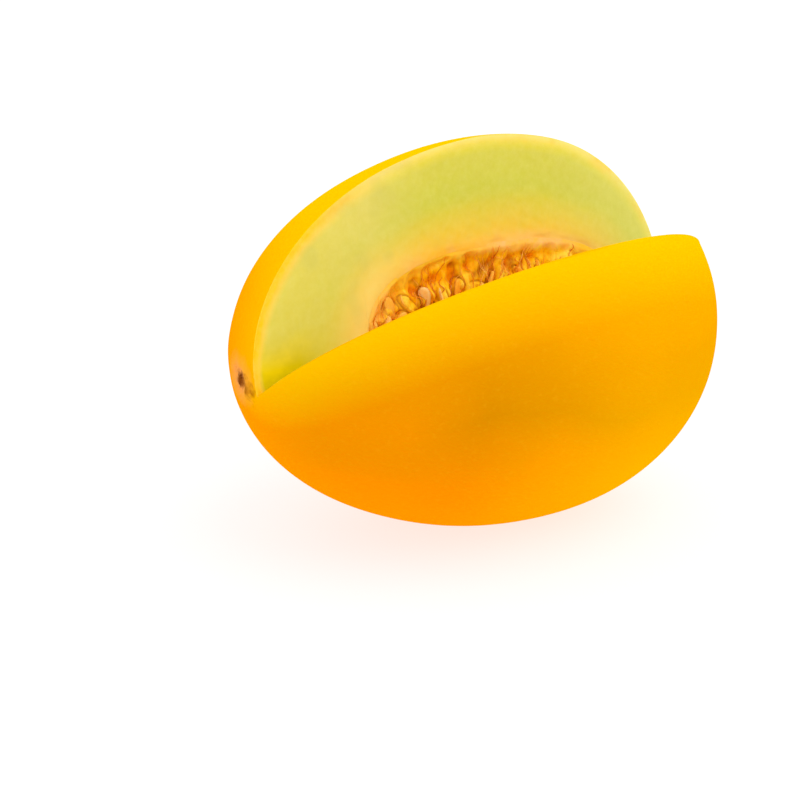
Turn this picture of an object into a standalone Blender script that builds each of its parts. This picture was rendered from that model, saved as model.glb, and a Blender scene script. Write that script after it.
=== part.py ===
"""A canary melon (Cucumis melo, Inodorus group) lying on its side with one long wedge cut out of its top.

Metres, +Z up. The fruit's long axis runs along X with the stem end at -X. The fruit rests on the flat spot
under its belly at z = 0, and the origin is in the middle of its footprint, below the middle of the axis.

Two nodes: melon_body is the rind and flesh, grown as one piece, with the wedge and the seed cavity cut
open. seed_mass is the soft placenta left in the cavity, with its seeds standing out of it.
"""

import math
import random

import bmesh
import bpy
from mathutils import Matrix, Vector

# Whole fruit
LENGTH = 0.213
GIRTH_RADIUS = 0.0792
BLOSSOM_FULLNESS = 0.115  # how much fuller the blossom half is than the stem half
END_FULLNESS = 0.075  # how much blunter both ends are than an ellipse's
SEAT_DEPTH = 0.0011  # how far the resting flat is cut into the round belly

# Wedge: two knife cuts that meet on one line, angles measured from straight up
FRONT_CUT_LEAN = math.radians(53.2)
BACK_CUT_LEAN = math.radians(7.4)
ROOT_AT_STEM = Vector((-LENGTH / 2, -0.0069, -0.0070))  # from the fruit's axis
ROOT_AT_BLOSSOM = Vector((LENGTH / 2, 0.0007, 0.0055))

# Seed cavity, a blunt-ended hollow on the fruit's axis
CAVITY_MIDDLE = 0.0125
CAVITY_HALF_LENGTH = 0.067
CAVITY_RADIUS = 0.0350
CAVITY_BLUNTNESS = 2.6

# Scars at the two ends
STEM_SCAR_PLACE = (0.0070, -0.0032)  # (y, z) from the fruit's axis
STEM_SCAR_RADIUS = 0.0075
STEM_SCAR_DEPTH = 0.0016
STEM_SCAR_LIP = 0.0005
BLOSSOM_SCAR_RADIUS = 0.0040
BLOSSOM_SCAR_DEPTH = 0.0005

# Placenta and seeds
CLEARANCE = 0.0003
WALL_ROOM = 0.0009  # between the seeds and the flesh
PULP_DROP = 0.0040  # how far the torn pulp sits back from the two knife cuts
VALLEY_RADIUS = 0.0060  # the round bottom between its two slopes
LOBE_SIZE = (0.0062, 0.0048, 0.0034)
SEED_LENGTH = 0.0120
SEED_WIDTH = 0.0056
SEED_THICKNESS = 0.0024
SEED_SPACING = 0.0083
ROW_SPACING = 0.0074
SEED_ROWS = 3  # up each slope, besides the one along the valley
LOBE_ROWS = 2
SEED_TURN = 0.6  # spread, in radians, of the seeds' turns from straight up the slope
SEED_TIPPING = (6, 26)  # how far they tip up out of it, in degrees
SEED_ROLL = 42  # spread, in degrees, of their rolls about their own length
SEED_LIFT = (-0.0003, 0.0006)
LOBE_SPREAD = (0.8, 1.15)  # of LOBE_SIZE
SEED_DRAW = 38890

# Faceting
SKIN_SIDES = 64
SKIN_STATIONS = 40
CAVITY_SIDES = 36
CAVITY_STATIONS = 18
STATION_GRADING = 0.6  # 0 spaces the stations evenly, 1 crowds them at the ends


def skin_point(u):
    """(x, r) of the skin at u from 0 at the stem to pi at the blossom end, an egg-shaped curve:
    x = -L/2 cos u and r = R sin u (1 - b cos u + e cos^2 u)."""
    c = math.cos(u)
    fullness = 1 - BLOSSOM_FULLNESS * c + END_FULLNESS * c * c
    return -LENGTH / 2 * c, GIRTH_RADIUS * math.sin(u) * fullness


def scar_relief(x, y, z):
    """How far a skin point near an end, placed from the axis, moves inward along it: a dish with a low
    lip round it at the stem, a plain dimple at the blossom end."""
    if x < 0:
        share = math.dist((y, z), STEM_SCAR_PLACE) / STEM_SCAR_RADIUS
        dish = max(0.0, 1 - share**2) ** 2
        return STEM_SCAR_DEPTH * dish - STEM_SCAR_LIP * math.exp(-((4 * (share - 1)) ** 2))
    share = math.hypot(y, z) / BLOSSOM_SCAR_RADIUS
    return -BLOSSOM_SCAR_DEPTH * max(0.0, 1 - share**2) ** 2


def skin_profile():
    """The skin's (x, r) stations, closer together towards the ends."""
    points = []
    for i in range(SKIN_STATIONS + 1):
        turn = 2 * math.pi * i / SKIN_STATIONS
        points.append(skin_point((turn - STATION_GRADING * math.sin(turn)) / 2))
    return points


def cavity_profile(inset=0.0):
    """The cavity's (x, r) stations, a superellipse about CAVITY_MIDDLE, drawn in by inset."""
    power = 2 / CAVITY_BLUNTNESS
    points = []
    for i in range(CAVITY_STATIONS + 1):
        u = math.pi * i / CAVITY_STATIONS
        along = math.copysign(abs(math.cos(u)) ** power, -math.cos(u))
        around = abs(math.sin(u)) ** power if 0 < i < CAVITY_STATIONS else 0.0
        points.append(
            (
                CAVITY_MIDDLE + (CAVITY_HALF_LENGTH - inset) * along,
                (CAVITY_RADIUS - inset) * around,
            )
        )
    return points


def cavity_radius(x):
    """The cavity wall's distance from the axis at x, 0 past its ends."""
    along = abs(x - CAVITY_MIDDLE) / CAVITY_HALF_LENGTH
    return CAVITY_RADIUS * max(0.0, 1 - along**CAVITY_BLUNTNESS) ** (1 / CAVITY_BLUNTNESS)


AXIS_HEIGHT = max(r for _, r in skin_profile()) - SEAT_DEPTH


def lean_direction(angle):
    """The direction that leans by angle from straight up, towards +Y where it is positive."""
    return Vector((0.0, math.sin(angle), math.cos(angle)))


FRONT_SLOPE = lean_direction(-FRONT_CUT_LEAN)
BACK_SLOPE = lean_direction(BACK_CUT_LEAN)
WEDGE_LEAN = (BACK_CUT_LEAN - FRONT_CUT_LEAN) / 2
HALF_WEDGE = (BACK_CUT_LEAN + FRONT_CUT_LEAN) / 2
WEDGE_MIDDLE = lean_direction(WEDGE_LEAN)


def wedge_root(x):
    """The point at x on the line where the two knife cuts meet."""
    share = x / LENGTH + 0.5
    root = ROOT_AT_STEM.lerp(ROOT_AT_BLOSSOM, share)
    return Vector((x, root.y, root.z + AXIS_HEIGHT))


def material(name, colour, roughness):
    made = bpy.data.materials.new(name)
    made.use_nodes = True
    shader = made.node_tree.nodes["Principled BSDF"]
    shader.inputs["Base Color"].default_value = (*colour, 1.0)
    shader.inputs["Roughness"].default_value = roughness
    shader.inputs["Metallic"].default_value = 0.0
    made.diffuse_color = (*colour, 1.0)
    return made


def add_object(name, bm, surface, collection=None):
    """Puts a finished bmesh in the scene, shaded smooth where it is round."""
    mesh = bpy.data.meshes.new(name)
    bm.to_mesh(mesh)
    bm.free()
    mesh.materials.append(surface)
    mesh.shade_smooth()
    mesh.set_sharp_from_angle(angle=math.radians(40))
    made = bpy.data.objects.new(name, mesh)
    (collection or bpy.context.scene.collection).objects.link(made)
    return made


def turned_solid(name, profile, sides, surface):
    """A closed solid made by turning (x, r) stations, whose two ends are on the axis, about the fruit's
    axis. It starts with a station line straight up."""
    bm = bmesh.new()
    line = [bm.verts.new((x, 0.0, r)) for x, r in profile]
    edges = [bm.edges.new(pair) for pair in zip(line, line[1:])]
    bmesh.ops.spin(
        bm,
        geom=line + edges,
        cent=(0.0, 0.0, 0.0),
        axis=(1.0, 0.0, 0.0),
        angle=2 * math.pi,
        steps=sides,
    )
    bmesh.ops.remove_doubles(bm, verts=bm.verts, dist=1e-6)
    bmesh.ops.recalc_face_normals(bm, faces=bm.faces)
    bmesh.ops.translate(bm, verts=bm.verts, vec=(0.0, 0.0, AXIS_HEIGHT))
    return add_object(name, bm, surface)


def as_cutter(cutter):
    cutter.hide_render = True
    cutter.display_type = "WIRE"
    return cutter


def extruded_outline(name, outline, surface):
    """A prism whose end outlines are outline(x), a list of points, just past both ends of the fruit."""
    reach = 0.6 * LENGTH
    bm = bmesh.new()
    near = [bm.verts.new(p) for p in outline(-reach)]
    far = [bm.verts.new(p) for p in outline(reach)]
    bm.faces.new(near)
    bm.faces.new(far)
    for i in range(len(near)):
        j = (i + 1) % len(near)
        bm.faces.new((near[i], near[j], far[j], far[i]))
    bmesh.ops.recalc_face_normals(bm, faces=bm.faces)
    return as_cutter(add_object(name, bm, surface))


def wedge_outline(x):
    """The missing wedge at x: its root and the far ends of its two cuts."""
    root = wedge_root(x)
    reach = 3 * GIRTH_RADIUS
    return [root, root + reach * FRONT_SLOPE, root + reach * BACK_SLOPE]


def pulp_surface(x, s):
    """The torn pulp's surface at x, s metres round it from the valley's bottom, up the back slope where s
    is positive, as (place, along, out). It is the two knife cuts let down by PULP_DROP and joined by a
    round bottom: an arc of VALLEY_RADIUS as far as the slopes' own leans, then straight."""
    quarter = math.pi / 2 - HALF_WEDGE
    turn = max(-quarter, min(quarter, s / VALLEY_RADIUS))
    out = lean_direction(WEDGE_LEAN - turn)
    along = lean_direction(WEDGE_LEAN - turn + math.pi / 2)
    centre = wedge_root(x) + WEDGE_MIDDLE * ((VALLEY_RADIUS - PULP_DROP) / math.sin(HALF_WEDGE))
    return centre - VALLEY_RADIUS * out + (s - turn * VALLEY_RADIUS) * along, along, out


def valley_outline(x):
    """The open space over the pulp at x."""
    steps = 6
    bottom = VALLEY_RADIUS * (math.pi / 2 - HALF_WEDGE)
    turns = [bottom * (1 - 2 * i / steps) for i in range(steps + 1)]
    reach = 3 * GIRTH_RADIUS
    return [pulp_surface(x, s)[0] for s in (reach, *turns, -reach)]


def cut(target, cutter):
    """Takes cutter away from target, whose new faces wear the cutter's material."""
    boolean = target.modifiers.new(cutter.name, "BOOLEAN")
    boolean.operation = "DIFFERENCE"
    boolean.solver = "EXACT"
    boolean.material_mode = "TRANSFER"
    boolean.object = cutter


def apply_modifiers(target):
    """Bakes the modifiers into the object's own mesh."""
    graph = bpy.context.evaluated_depsgraph_get()
    finished = bpy.data.meshes.new_from_object(target.evaluated_get(graph))
    target.modifiers.clear()
    target.data = finished


def drop_scraps(mesh):
    """Keeps the mesh's largest connected body and removes any loose scrap beside it."""
    bm = bmesh.new()
    bm.from_mesh(mesh)
    unseen = set(bm.verts)
    bodies = []
    while unseen:
        frontier = [unseen.pop()]
        body = list(frontier)
        while frontier:
            vert = frontier.pop()
            near = [edge.other_vert(vert) for edge in vert.link_edges]
            fresh = [other for other in near if other in unseen]
            unseen.difference_update(fresh)
            frontier += fresh
            body += fresh
        bodies.append(body)
    bodies.sort(key=len)
    scraps = [vert for body in bodies[:-1] for vert in body]
    bmesh.ops.delete(bm, geom=scraps, context="VERTS")
    bm.to_mesh(mesh)
    bm.free()


def melon_body(rind, flesh):
    """Rind and flesh in one: the egg-shaped fruit less its wedge, its seed cavity and its seat."""
    body = turned_solid("melon_body", skin_profile(), SKIN_SIDES, rind)
    for vert in body.data.vertices:
        vert.co.x += scar_relief(vert.co.x, vert.co.y, vert.co.z - AXIS_HEIGHT)
    cavity = turned_solid("cavity_cutter", cavity_profile(), CAVITY_SIDES, flesh)
    wedge = extruded_outline("wedge_cutter", wedge_outline, flesh)
    bm = bmesh.new()
    bmesh.ops.create_cube(bm, size=LENGTH)
    bmesh.ops.translate(bm, verts=bm.verts, vec=(0.0, 0.0, -LENGTH / 2))
    seat = add_object("seat_cutter", bm, rind)
    for cutter in (as_cutter(cavity), wedge, as_cutter(seat)):
        cut(body, cutter)


def pulp_places(step, row_step, rows):
    """Places by rule over the pulp's open surface: rows along the fruit, row_step apart up both slopes and
    staggered by half a step. Each is (place, along, out), and along leads up its slope."""
    count = int(2 * CAVITY_HALF_LENGTH / step)
    for row in range(-rows, rows + 1):
        for i in range(count):
            share = (i + (0.75 if row % 2 else 0.25)) / count
            x = CAVITY_MIDDLE + CAVITY_HALF_LENGTH * (2 * share - 1)
            place, along, out = pulp_surface(x, row * row_step)
            yield place, (along if row >= 0 else -along), out


def lobe_shape(bm, size):
    """A low-faceted ellipsoid with half sizes size."""
    made = bmesh.ops.create_uvsphere(bm, u_segments=7, v_segments=4, radius=1.0)
    bmesh.ops.scale(bm, verts=made["verts"], vec=size)


def seed_shape(bm):
    """One seed along its frame's x, round at one end and drawn to a point at the other: six-sided rings
    whose width swells and whose thickness stays thin."""
    stations = ((0.22, 0.62), (0.58, 1.0), (0.90, 0.66))  # (share of the length, share of the width)
    rings = []
    for along, wide in stations:
        ring = []
        for k in range(6):
            turn = math.pi * k / 3
            ring.append(
                bm.verts.new(
                    (
                        SEED_LENGTH * (along - 0.5),
                        SEED_WIDTH / 2 * wide * math.cos(turn),
                        SEED_THICKNESS / 2 * wide**0.5 * math.sin(turn) / math.sin(math.pi / 3),
                    )
                )
            )
        rings.append(ring)
    tip = bm.verts.new((-SEED_LENGTH / 2, 0.0, 0.0))
    crown = bm.verts.new((SEED_LENGTH / 2, 0.0, 0.0))
    faces = []
    for k in range(6):
        n = (k + 1) % 6
        faces.append(bm.faces.new((tip, rings[0][n], rings[0][k])))
        faces.append(bm.faces.new((crown, rings[-1][k], rings[-1][n])))
        for lower, upper in zip(rings, rings[1:]):
            faces.append(bm.faces.new((lower[k], lower[n], upper[n], upper[k])))
    bmesh.ops.recalc_face_normals(bm, faces=faces)


def lying_frame(place, along, out, turn, pitch, roll):
    """A matrix at place whose x runs along the surface, turned about out, then tipped up by pitch and
    rolled about its own length."""
    side = out.cross(along)
    base = Matrix((along, side, out)).transposed().to_4x4()
    spin = Matrix.Rotation(turn, 4, "Z") @ Matrix.Rotation(-pitch, 4, "Y") @ Matrix.Rotation(roll, 4, "X")
    return Matrix.Translation(place) @ base @ spin


def has_room(point):
    """Whether a point is inside the cavity, or out in the open wedge, and clear of the flesh."""
    offset = point - wedge_root(point.x)
    in_wedge = abs(math.remainder(math.atan2(offset.y, offset.z) - WEDGE_LEAN, math.tau)) < HALF_WEDGE
    across = min(abs(offset.cross(slope).x) for slope in (FRONT_SLOPE, BACK_SLOPE))
    if in_wedge and across > WALL_ROOM:
        return True
    return math.hypot(point.y, point.z - AXIS_HEIGHT) < cavity_radius(point.x) - WALL_ROOM


def bed(bm, frame, along):
    """Places a lobe or a seed by its frame, drawn back down the slope until all of it has room. Says
    whether it found any."""
    bmesh.ops.transform(bm, verts=bm.verts, matrix=frame)
    for _ in range(8):
        if all(has_room(vert.co) for vert in bm.verts):
            return True
        bmesh.ops.translate(bm, verts=bm.verts, vec=-0.1 * SEED_LENGTH * along)
    return False


def seed_mass(pulp, seed_coat):
    """The placenta in the open cavity, 0.3 mm clear of the flesh, with lobes and seeds fused into its two
    torn slopes."""
    mass = turned_solid("seed_mass", cavity_profile(CLEARANCE), CAVITY_SIDES, pulp)
    valley = extruded_outline("valley_cutter", valley_outline, pulp)
    cut(mass, valley)
    draw = random.Random(SEED_DRAW)
    repeats = bpy.data.collections.new("seed_repeats")
    bpy.context.scene.collection.children.link(repeats)
    for place, along, out in pulp_places(2 * SEED_SPACING, 1.6 * ROW_SPACING, LOBE_ROWS):
        bm = bmesh.new()
        lobe_shape(bm, [half * draw.uniform(*LOBE_SPREAD) for half in LOBE_SIZE])
        frame = lying_frame(place, along, out, draw.uniform(0, math.pi), 0.0, 0.0)
        if bed(bm, frame, along):
            add_object("lobe", bm, pulp, repeats)
    for place, along, out in pulp_places(SEED_SPACING, ROW_SPACING, SEED_ROWS):
        bm = bmesh.new()
        turn = draw.gauss(0.0, SEED_TURN) + (math.pi if draw.random() < 0.5 else 0.0)
        pitch = math.radians(draw.uniform(*SEED_TIPPING))
        roll = math.radians(draw.gauss(0, SEED_ROLL))
        lift = draw.uniform(*SEED_LIFT)
        seed_shape(bm)
        frame = lying_frame(place + out * lift, along, out, turn, pitch, roll)
        if bed(bm, frame, along):
            add_object("seed", bm, seed_coat, repeats)
    fuse = mass.modifiers.new("fuse_repeats", "BOOLEAN")
    fuse.operation = "UNION"
    fuse.solver = "EXACT"
    fuse.operand_type = "COLLECTION"
    fuse.collection = repeats
    fuse.use_self = True
    apply_modifiers(mass)
    drop_scraps(mass.data)
    for repeat in list(repeats.objects):
        bpy.data.objects.remove(repeat)
    bpy.data.collections.remove(repeats)
    bpy.data.objects.remove(valley)
    return mass


for old in list(bpy.data.objects):
    bpy.data.objects.remove(old)

RIND = material("rind_orange_yellow", (0.95, 0.48, 0.03), 0.42)
FLESH = material("flesh_pale_green", (0.78, 0.74, 0.30), 0.35)
PULP = material("pulp_orange", (0.95, 0.42, 0.06), 0.25)
SEED_COAT = material("seed_cream", (0.90, 0.72, 0.42), 0.35)

melon_body(RIND, FLESH)
seed_mass(PULP, SEED_COAT)
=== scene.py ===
"""Looks for a canary melon that lies on its side with one long wedge cut out of its top.

Metres, +Z up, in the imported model's own frame. The fruit's long axis runs along X at AXIS_HEIGHT, with the
stem end at -X, and the fruit stands on z = 0. Sections follow the fruit from the outside in.
"""

import math
import random

import bpy
import numpy as np
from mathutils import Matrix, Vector


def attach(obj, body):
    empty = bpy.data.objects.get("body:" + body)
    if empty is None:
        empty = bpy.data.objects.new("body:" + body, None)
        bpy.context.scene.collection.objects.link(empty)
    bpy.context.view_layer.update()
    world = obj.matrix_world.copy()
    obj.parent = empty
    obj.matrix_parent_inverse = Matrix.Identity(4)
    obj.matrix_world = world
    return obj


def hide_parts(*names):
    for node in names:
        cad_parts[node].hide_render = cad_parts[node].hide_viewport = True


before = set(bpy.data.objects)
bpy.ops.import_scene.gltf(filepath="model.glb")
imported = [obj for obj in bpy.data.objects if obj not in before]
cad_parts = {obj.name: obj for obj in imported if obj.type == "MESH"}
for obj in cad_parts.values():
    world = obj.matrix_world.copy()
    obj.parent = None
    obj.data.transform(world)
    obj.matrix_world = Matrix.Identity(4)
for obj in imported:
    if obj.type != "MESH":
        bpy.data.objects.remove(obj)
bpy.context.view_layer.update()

# --------------------------------------------------------------------------------------------------
# Melon body: the orange-yellow rind and the firm pale green flesh, which grew as one. Two straight
# strokes of a knife have taken a wedge from its top and opened the seed cavity, and the fruit stands on
# the small flat spot under its belly.
# --------------------------------------------------------------------------------------------------
LENGTH = 0.213
GIRTH_RADIUS = 0.0792
BLOSSOM_FULLNESS = 0.115
END_FULLNESS = 0.075
SEAT_DEPTH = 0.0011
SKIN_INSET = 0.00012  # keeps the finished skin inside the solid's own box

FRONT_LEAN = -math.radians(53.2)  # the two knife cuts, from straight up, positive towards +Y
BACK_LEAN = math.radians(7.4)
ROOT_AT_STEM = np.array((-0.0069, -0.0070))  # (y, z) from the axis
ROOT_AT_BLOSSOM = np.array((0.0007, 0.0055))

CAVITY_MIDDLE = 0.0125
CAVITY_HALF_LENGTH = 0.067
CAVITY_RADIUS = 0.0350
CAVITY_BLUNTNESS = 2.6

STEM_SCAR_PLACE = (0.0070, -0.0032)  # (y, z) from the axis
STEM_SCAR_RADIUS = 0.0075
STEM_SCAR_DEPTH = 0.0016
STEM_SCAR_LIP = 0.0004
STEM_STUMP_SHOULDER = (0.22, 0.48)  # where the stump falls away, in shares of the scar's radius
STEM_STUMP_HEIGHT = 0.0009
BLOSSOM_SCAR_RADIUS = 0.0040
BLOSSOM_SCAR_DEPTH = 0.0005
SCAR_ROUGHNESS = 0.00016

CUT_EDGE_ROUNDING = (0.00022, 0.0005)  # how far an edge is drawn in, and over what reach
CAVITY_LIP_ROUNDING = (0.0007, 0.0024)
KNIFE_CHATTER = ((0.00010, 0.03, 21), (0.00004, 0.006, 22))  # (height, length, draw) of each ripple
SKIN_RELIEF = 0.00014
FURROW_DEPTH = 0.00035  # of the soft furrows that run out from the stem
FURROWS = 10

STATIONS = 236
SKIN_POINTS = 190
FRONT_CUT_POINTS = 48
WALL_POINTS = 60
BACK_CUT_POINTS = 56


def skin_at(u):
    """x and radius of the skin at u, from 0 at the stem to pi at the blossom end: x = -L/2 cos u and
    r = R sin u (1 - b cos u + e cos^2 u)."""
    c = np.cos(u)
    return -LENGTH / 2 * c, GIRTH_RADIUS * np.sin(u) * (1 - BLOSSOM_FULLNESS * c + END_FULLNESS * c * c)


AXIS_HEIGHT = skin_at(np.linspace(0, np.pi, 2001))[1].max() - SEAT_DEPTH


def leaning(angle):
    """The (y, z) direction that leans by angle from straight up."""
    return np.stack((np.sin(angle), np.cos(angle)), axis=-1)


def wedge_root(x):
    """(y, z) from the axis of the line where the two knife cuts meet, a straight line along the fruit."""
    share = (np.asarray(x) / LENGTH + 0.5)[..., None]
    return ROOT_AT_STEM * (1 - share) + ROOT_AT_BLOSSOM * share


def cavity_radius(x, inset=0.0):
    """The seed cavity's radius at x: a superellipse of power CAVITY_BLUNTNESS, 0 past its ends."""
    share = np.abs(x - CAVITY_MIDDLE) / (CAVITY_HALF_LENGTH - inset)
    return (CAVITY_RADIUS - inset) * np.clip(1 - share**CAVITY_BLUNTNESS, 0, 1) ** (1 / CAVITY_BLUNTNESS)


def ray_exit(start, direction, radius, sign=1.0):
    """How far a ray from start meets the circle of radius about the axis: -b + sqrt(b^2 - |start|^2 + r^2),
    where b is start's share along the ray. A sign of -1 gives the nearer meeting."""
    along = (start * direction).sum(-1)
    inside = along**2 - (start**2).sum(-1) + radius**2
    return -along + sign * np.sqrt(np.clip(inside, 0, None))


def smoothstep(value, low, high):
    """0 below low, 1 above high, and 3t^2 - 2t^3 between them."""
    t = np.clip((value - low) / (high - low), 0, 1)
    return t * t * (3 - 2 * t)


RIPPLE_WAVES = 8


def ripple(a, b, size, seed):
    """Smooth random relief of mean 0 and spread about 1 over the plane (a, b): the sum of crossing sine
    waves near size long, whose directions, lengths and phases are drawn from seed."""
    draw = np.random.default_rng(seed)
    total = 0
    for _ in range(RIPPLE_WAVES):
        heading = draw.uniform(0, 2 * np.pi)
        pace = 2 * np.pi / (size * draw.uniform(0.65, 1.6))
        way = a * np.cos(heading) + b * np.sin(heading)
        total = total + np.sin(pace * way + draw.uniform(0, 2 * np.pi))
    return total / math.sqrt(RIPPLE_WAVES / 2)


def crowded(count, evenness):
    """count shares from 0 up to but not including 1, a blend of even steps and of half a cosine wave,
    which crowds them at both ends."""
    t = np.arange(count) / count
    return evenness * t + (1 - evenness) * (1 - np.cos(np.pi * t)) / 2


def body_stations():
    """The stations' angles u: even along the fruit, closer at both scars, and a pair at each end of the
    cavity, just inside and just outside it."""
    u = np.linspace(0, np.pi, 4001)
    density = 104 * np.sin(u) + 190 * np.exp(-((u / 0.15) ** 2)) + 80 * np.exp(-(((np.pi - u) / 0.09) ** 2))
    reach = np.concatenate(([0], np.cumsum((density[1:] + density[:-1]) / 2 * np.diff(u))))
    even = np.interp(np.linspace(0, reach[-1], STATIONS), reach, u)
    inside = np.array((-0.0001, 0.00035, 0.001, 0.002))
    ends = np.concatenate(
        (CAVITY_MIDDLE - CAVITY_HALF_LENGTH + inside, CAVITY_MIDDLE + CAVITY_HALF_LENGTH - inside)
    )
    return np.unique(np.concatenate((even, np.arccos(-2 * ends / LENGTH))))


def body_surface():
    """The body as a closed loop of points at each station: round the skin from the back cut's top edge to
    the front cut's, in along the front cut, round the cavity's wall, and out along the back cut. Where
    the knife didn't reach, the last three shrink to one point of the skin. Returns the points and, for
    each, its depth below the skin, its distance from the cavity, from the cuts' edge along the skin and
    from the cuts' root, and which of the four it belongs to."""
    u = body_stations()
    x, radius = skin_at(u)
    radius = np.clip(radius - SKIN_INSET, 0, None)
    root = wedge_root(x)
    back, front = leaning(BACK_LEAN), leaning(FRONT_LEAN)
    root_reach = np.hypot(*root.T)
    closest = root + np.clip(-(root @ back), 0, None)[:, None] * back
    reach = np.hypot(*closest.T)
    is_cut = radius > reach
    has_root = (radius > root_reach) & is_cut

    low = root + np.where(has_root, 0, ray_exit(root, back, radius, -1))[:, None] * back
    top = root + ray_exit(root, back, radius)[:, None] * back
    brow = np.where(has_root[:, None], root + ray_exit(root, front, radius)[:, None] * front, low)
    bare = (radius / reach)[:, None] * closest
    low, top, brow = (np.where(is_cut[:, None], place, bare) for place in (low, top, brow))

    hollow = cavity_radius(x)
    is_open = has_root & (hollow > root_reach + 1e-5)
    inner_front = np.where(is_open[:, None], root + ray_exit(root, front, hollow)[:, None] * front, low)
    inner_back = np.where(is_open[:, None], root + ray_exit(root, back, hollow)[:, None] * back, low)

    start = np.arctan2(*top.T)
    span = np.where(is_cut, np.mod(np.arctan2(*brow.T) - start, 2 * np.pi), 2 * np.pi)
    turn = start[:, None] + span[:, None] * crowded(SKIN_POINTS, 0.25)
    skin = radius[:, None, None] * leaning(turn)

    def line(a, b, count, evenness):
        return a[:, None] + (b - a)[:, None] * crowded(count, evenness)[None, :, None]

    front_cut = line(brow, inner_front, FRONT_CUT_POINTS, 0.35)
    back_cut = line(inner_back, top, BACK_CUT_POINTS, 0.35)
    wall_start = np.mod(np.arctan2(*inner_front.T), 2 * np.pi)
    wall_end = np.arctan2(*inner_back.T)
    wall_turn = wall_start[:, None] + (wall_end - wall_start)[:, None] * crowded(WALL_POINTS, 0.2)
    wall = np.where(is_open[:, None, None], hollow[:, None, None] * leaning(wall_turn), low[:, None])

    loop = np.concatenate((skin, front_cut, wall, back_cut), axis=1)
    part = np.repeat(np.arange(4), (SKIN_POINTS, FRONT_CUT_POINTS, WALL_POINTS, BACK_CUT_POINTS))
    across = np.hypot(*np.moveaxis(loop, -1, 0))

    # how far each point is from the loop's corners, for rounding them
    def from_corner(place):
        return np.hypot(*np.moveaxis(loop - place[:, None], -1, 0))

    knife = smoothstep(np.hypot(*(top - low).T), 0.0005, 0.004)[:, None]
    lips = smoothstep(np.hypot(*(inner_back - low).T), 0.001, 0.012)[:, None]
    back_out, front_out = leaning(BACK_LEAN - np.pi / 2), leaning(FRONT_LEAN + np.pi / 2)
    rounding = 0
    for corner, flat, side, share, (amount, size) in (
        (top, back_out, 1, knife, CUT_EDGE_ROUNDING),
        (brow, front_out, 1, knife, CUT_EDGE_ROUNDING),
        (inner_back, back_out, -1, lips, CAVITY_LIP_ROUNDING),
        (inner_front, front_out, -1, lips, CAVITY_LIP_ROUNDING),
    ):
        radial = corner / np.clip(np.hypot(*corner.T), 1e-9, None)[:, None]
        inward = -(flat + side * radial)
        inward /= np.clip(np.hypot(*inward.T), 1e-6, None)[:, None]
        near = amount * share * np.exp(-((from_corner(corner) / size) ** 2))
        if side < 0:
            near = near * (1 + 0.25 * ripple(x, 0 * x, 0.009, 4)[:, None])
        rounding = rounding + near[..., None] * inward[:, None]
    loop = loop + rounding

    # knife chatter on the two cuts, and soft irregular relief on the skin, always inward
    chatter = sum(height * ripple(x[:, None], across, size, draw) for height, size, draw in KNIFE_CHATTER)
    depth = radius[:, None] - across
    settled = smoothstep(np.minimum(depth, across - hollow[:, None]), 0.0005, 0.004)
    loop[:, part == 1] += ((chatter * settled)[:, part == 1])[..., None] * front_out
    loop[:, part == 3] += ((chatter * settled)[:, part == 3])[..., None] * back_out
    angle = np.arctan2(loop[..., 0], loop[..., 1])
    waviness = ripple(np.cos(angle) * 0.08, np.sin(angle) * 0.08 + 1.3 * x[:, None], 0.07, 31)
    furrows = 0.5 + 0.5 * np.cos(FURROWS * angle + 1.5 * np.sin(angle))
    furrows = np.exp(-((u[:, None] / 0.55) ** 2)) * furrows
    sink = SKIN_RELIEF * np.clip(1.6 + waviness, 0, None)
    sink = sink + FURROW_DEPTH * furrows * smoothstep(u[:, None], 0.12, 0.3)
    keep = np.clip(1 - sink / np.clip(across, 1e-6, None), 0.9, 1)
    loop = loop * np.where((part == 0)[None, :, None], keep[..., None], 1)

    # scars: a corky dish round the stem's torn stump, and a dimple where the flower was
    share = np.hypot(loop[..., 0] - STEM_SCAR_PLACE[0], loop[..., 1] - STEM_SCAR_PLACE[1]) / STEM_SCAR_RADIUS
    rough = SCAR_ROUGHNESS * ripple(loop[..., 0], loop[..., 1], 0.0022, 41)
    dish = STEM_SCAR_DEPTH * np.clip(1 - share**2, 0, 1) ** 2
    lip = STEM_SCAR_LIP * np.exp(-((4 * (share - 1)) ** 2))
    stump = STEM_STUMP_HEIGHT * (1 - smoothstep(share, *STEM_STUMP_SHOULDER))
    stem_press = dish - lip - stump + rough * (1 - smoothstep(share, 0.5, 0.9))
    share = np.hypot(*np.moveaxis(loop, -1, 0)) / BLOSSOM_SCAR_RADIUS
    blossom_press = -BLOSSOM_SCAR_DEPTH * np.clip(1 - share**2, 0, 1) ** 2
    on_skin = (part == 0)[None, :] | ~is_cut[:, None]
    press = np.where(u[:, None] < 0.4, stem_press, np.where(u[:, None] > 2.7, blossom_press, 0)) * on_skin
    press = press * (1 - smoothstep(u[:, None], 0.2, 0.3) * (u[:, None] < 1))
    points = np.empty(loop.shape[:2] + (3,))
    points[..., 0] = x[:, None] * (1 - 2 * SKIN_INSET / LENGTH) + press
    points[..., 1] = loop[..., 0]
    points[..., 2] = np.clip(loop[..., 1] + AXIS_HEIGHT, 0, None)

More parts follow.
